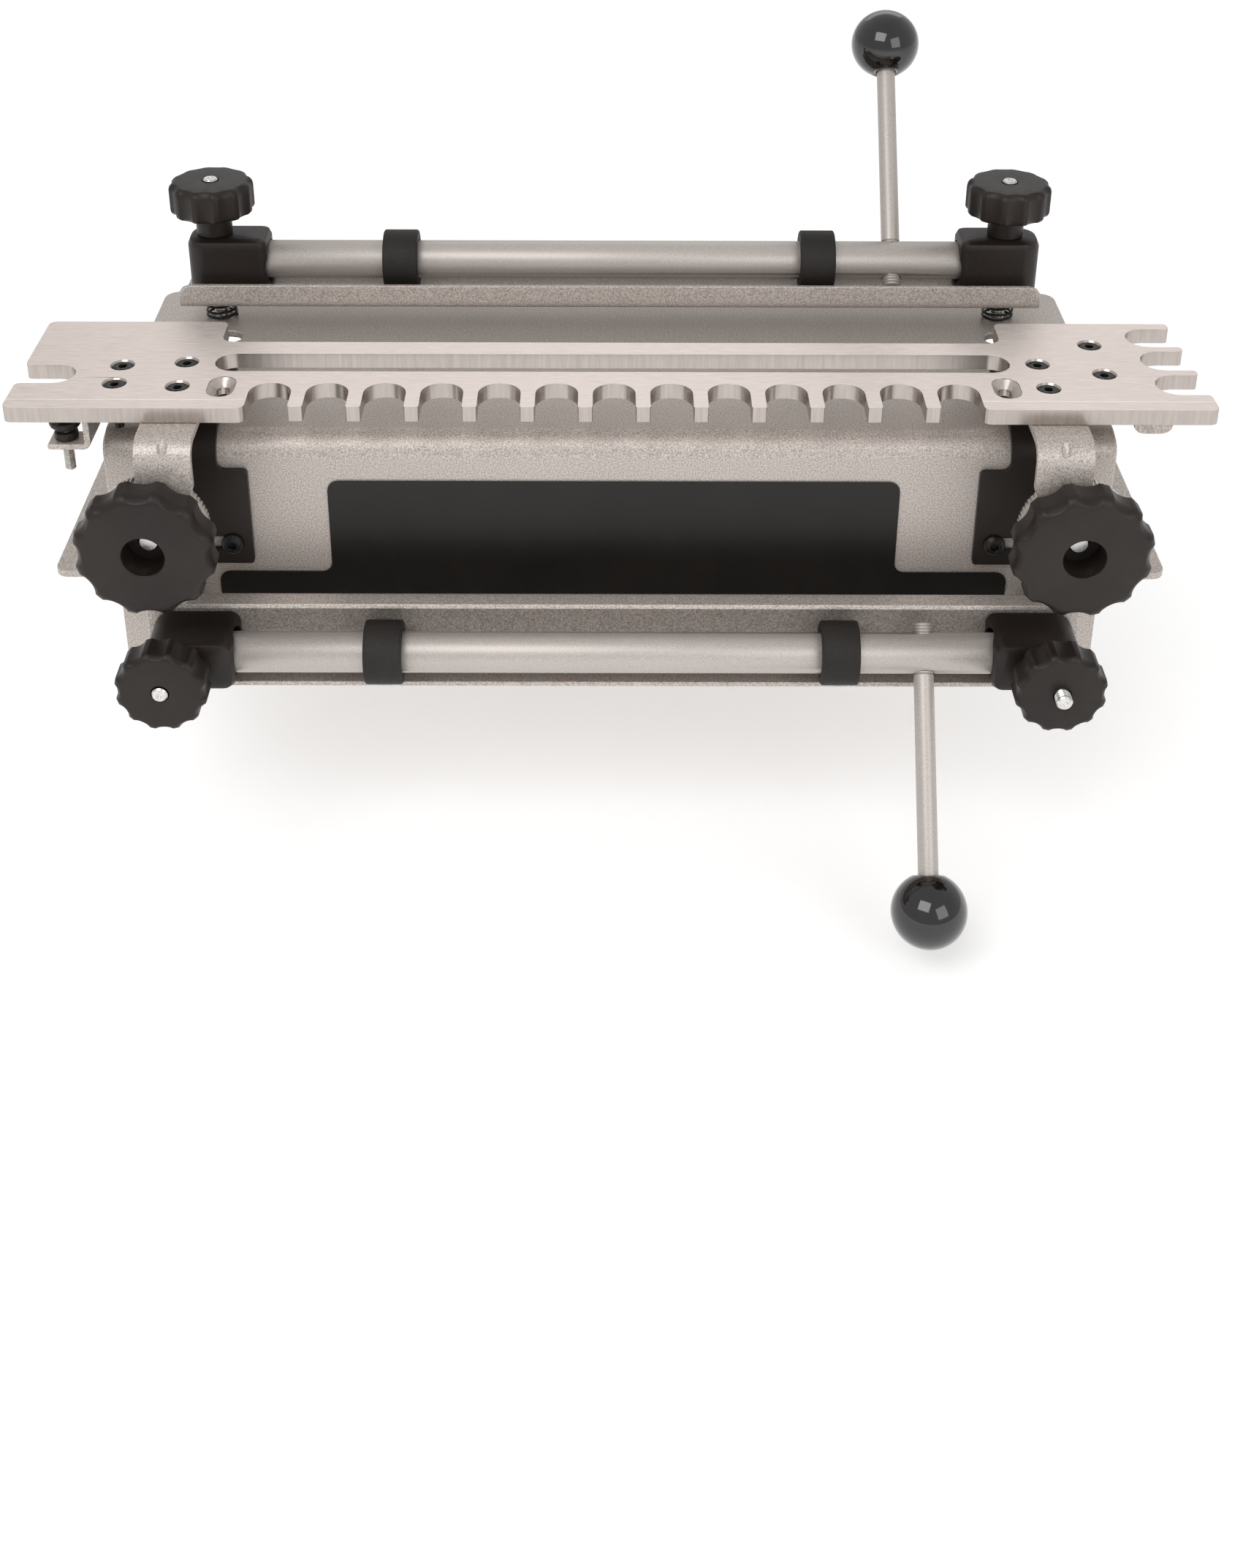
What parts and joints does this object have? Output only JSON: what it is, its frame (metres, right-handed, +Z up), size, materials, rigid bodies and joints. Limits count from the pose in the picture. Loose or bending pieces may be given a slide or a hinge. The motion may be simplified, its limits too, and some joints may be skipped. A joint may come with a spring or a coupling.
{
  "type": "dovetail jig",
  "caption": "Dovetail jig: bent-sheet base, slotted aluminium finger template on height-adjustable fork brackets, and cam-lever clamp bars on its top and front.",
  "frame": {"origin": "middle of the width, on the underside of the bench plate, 10 mm behind the base's front face", "axes": "+Z up, +Y towards the back of the jig, +X to the right of a person standing in front of it"},
  "size_m": [0.4656, 0.3042, 0.2927],
  "materials": {
    "painted_silver": "fine-speckled silver powder coat, satin",
    "bar_silver": "smooth silver coat, satin",
    "template_aluminium": "brushed along the length, bright machined edges",
    "bright_zinc": "bright zinc plate",
    "black_steel": "black oxide, lightly oiled",
    "black_plastic": "moulded black plastic, fine texture",
    "black_rubber": "matte black rubber",
    "gloss_black": "polished black phenolic",
    "black_label": "satin black plate, blank"
  },
  "bodies": {
    "base": {"base_shell": "painted_silver", "bench_plate": "painted_silver", "end_gusset_left": "painted_silver", "end_gusset_right": "painted_silver", "nameplate": "black_label", "stop_left": "black_plastic", "stop_right": "black_plastic", "stop_screw_left": "black_steel", "stop_screw_right": "black_steel", "template_stud_left": "bright_zinc", "template_stud_right": "bright_zinc", "stud_nut_left": "bright_zinc", "stud_nut_right": "bright_zinc", "upper_stud_left": "bright_zinc", "upper_stud_right": "bright_zinc", "lower_stud_left": "bright_zinc", "lower_stud_right": "bright_zinc", "upper_spring_left": "black_steel", "upper_spring_right": "black_steel", "lower_spring_left": "black_steel", "lower_spring_right": "black_steel"},
    "template": {"finger_template": "template_aluminium", "bracket_left": "painted_silver", "bracket_right": "painted_silver", "depth_stop_bracket": "painted_silver", "gauge_tab": "painted_silver", "template_screw_1": "black_steel", "template_screw_2": "black_steel", "template_screw_3": "black_steel", "template_screw_4": "black_steel", "template_screw_5": "black_steel", "template_screw_6": "black_steel", "template_screw_7": "black_steel", "template_screw_8": "black_steel"},
    "depth_stop": {"depth_stop_screw": "bright_zinc", "depth_stop_nut": "black_plastic"},
    "template_knob_left": {"template_knob_left": "black_plastic"},
    "depth_wheel_left": {"depth_wheel_left": "bright_zinc"},
    "template_knob_right": {"template_knob_right": "black_plastic"},
    "depth_wheel_right": {"depth_wheel_right": "bright_zinc"},
    "upper_yoke": {"upper_end_block_left": "black_plastic", "upper_end_block_right": "black_plastic"},
    "upper_lever": {"upper_cam_bar": "bar_silver", "upper_ring_left": "black_rubber", "upper_ring_right": "black_rubber", "upper_lever_rod": "bar_silver", "upper_lever_ball": "gloss_black"},
    "upper_bar": {"upper_pressure_bar": "painted_silver"},
    "upper_knob_left": {"upper_knob_left": "black_plastic"},
    "upper_knob_right": {"upper_knob_right": "black_plastic"},
    "lower_yoke": {"lower_end_block_left": "black_plastic", "lower_end_block_right": "black_plastic"},
    "lower_lever": {"lower_cam_bar": "bar_silver", "lower_ring_left": "black_rubber", "lower_ring_right": "black_rubber", "lower_lever_rod": "bar_silver", "lower_lever_ball": "gloss_black"},
    "lower_bar": {"lower_pressure_bar": "painted_silver"},
    "lower_knob_left": {"lower_knob_left": "black_plastic"},
    "lower_knob_right": {"lower_knob_right": "black_plastic"}
  },
  "joints": [
    {"name": "template_height", "type": "slide", "parent": "base", "child": "template", "axis": [0, 0, 1], "range_m": [-0.004, 0.012]},
    {"name": "depth_stop_turn", "type": "hinge", "parent": "template", "child": "depth_stop", "pos_m": [-0.2135, -0.0195, 0.0766], "axis": [0, 0, 1], "continuous": true},
    {"name": "template_knob_left_turn", "type": "hinge", "parent": "base", "child": "template_knob_left", "pos_m": [-0.178, -0.05725, 0.0452], "axis": [0, -1, 0], "continuous": true},
    {"name": "depth_wheel_left_turn", "type": "hinge", "parent": "base", "child": "depth_wheel_left", "pos_m": [-0.178, -0.04225, 0.0452], "axis": [0, -1, 0], "continuous": true},
    {"name": "template_knob_right_turn", "type": "hinge", "parent": "base", "child": "template_knob_right", "pos_m": [0.178, -0.05725, 0.0452], "axis": [0, -1, 0], "continuous": true},
    {"name": "depth_wheel_right_turn", "type": "hinge", "parent": "base", "child": "depth_wheel_right", "pos_m": [0.178, -0.04225, 0.0452], "axis": [0, -1, 0], "continuous": true},
    {"name": "upper_clamp_height", "type": "slide", "parent": "base", "child": "upper_yoke", "axis": [0, 0, 1], "range_m": [-0.007, 0], "deforming": ["upper_spring_left", "upper_spring_right"]},
    {"name": "upper_lever_swing", "type": "hinge", "parent": "upper_yoke", "child": "upper_lever", "pos_m": [0, 0.104, 0.0944], "axis": [1, 0, 0], "range_deg": [0, 100]},
    {"name": "upper_bar_press", "type": "slide", "parent": "upper_yoke", "child": "upper_bar", "axis": [0, 0, -1], "range_m": [0, 0.0012]},
    {"name": "upper_knob_left_turn", "type": "hinge", "parent": "upper_yoke", "child": "upper_knob_left", "pos_m": [-0.1732, 0.104, 0.118], "axis": [0, 0, 1], "continuous": true},
    {"name": "upper_knob_right_turn", "type": "hinge", "parent": "upper_yoke", "child": "upper_knob_right", "pos_m": [0.17, 0.104, 0.118], "axis": [0, 0, 1], "continuous": true},
    {"name": "lower_clamp_height", "type": "slide", "parent": "base", "child": "lower_yoke", "axis": [0, -1, 0], "range_m": [-0.007, 0], "deforming": ["lower_spring_left", "lower_spring_right"]},
    {"name": "lower_lever_swing", "type": "hinge", "parent": "lower_yoke", "child": "lower_lever", "pos_m": [0, -0.0437, -0.0105], "axis": [-1, 0, 0], "range_deg": [0, 100]},
    {"name": "lower_bar_press", "type": "slide", "parent": "lower_yoke", "child": "lower_bar", "axis": [0, 1, 0], "range_m": [0, 0.0012]},
    {"name": "lower_knob_left_turn", "type": "hinge", "parent": "lower_yoke", "child": "lower_knob_left", "pos_m": [-0.1748, -0.0618, -0.0095], "axis": [0, -1, 0], "continuous": true},
    {"name": "lower_knob_right_turn", "type": "hinge", "parent": "lower_yoke", "child": "lower_knob_right", "pos_m": [0.1731, -0.0618, -0.0095], "axis": [0, -1, 0], "continuous": true}
  ],
  "couplings": [
    {"joint": "upper_bar_press", "follows": "upper_lever_swing", "m_per_rad": 0.0006},
    {"joint": "lower_bar_press", "follows": "lower_lever_swing", "m_per_rad": 0.0006}
  ]
}
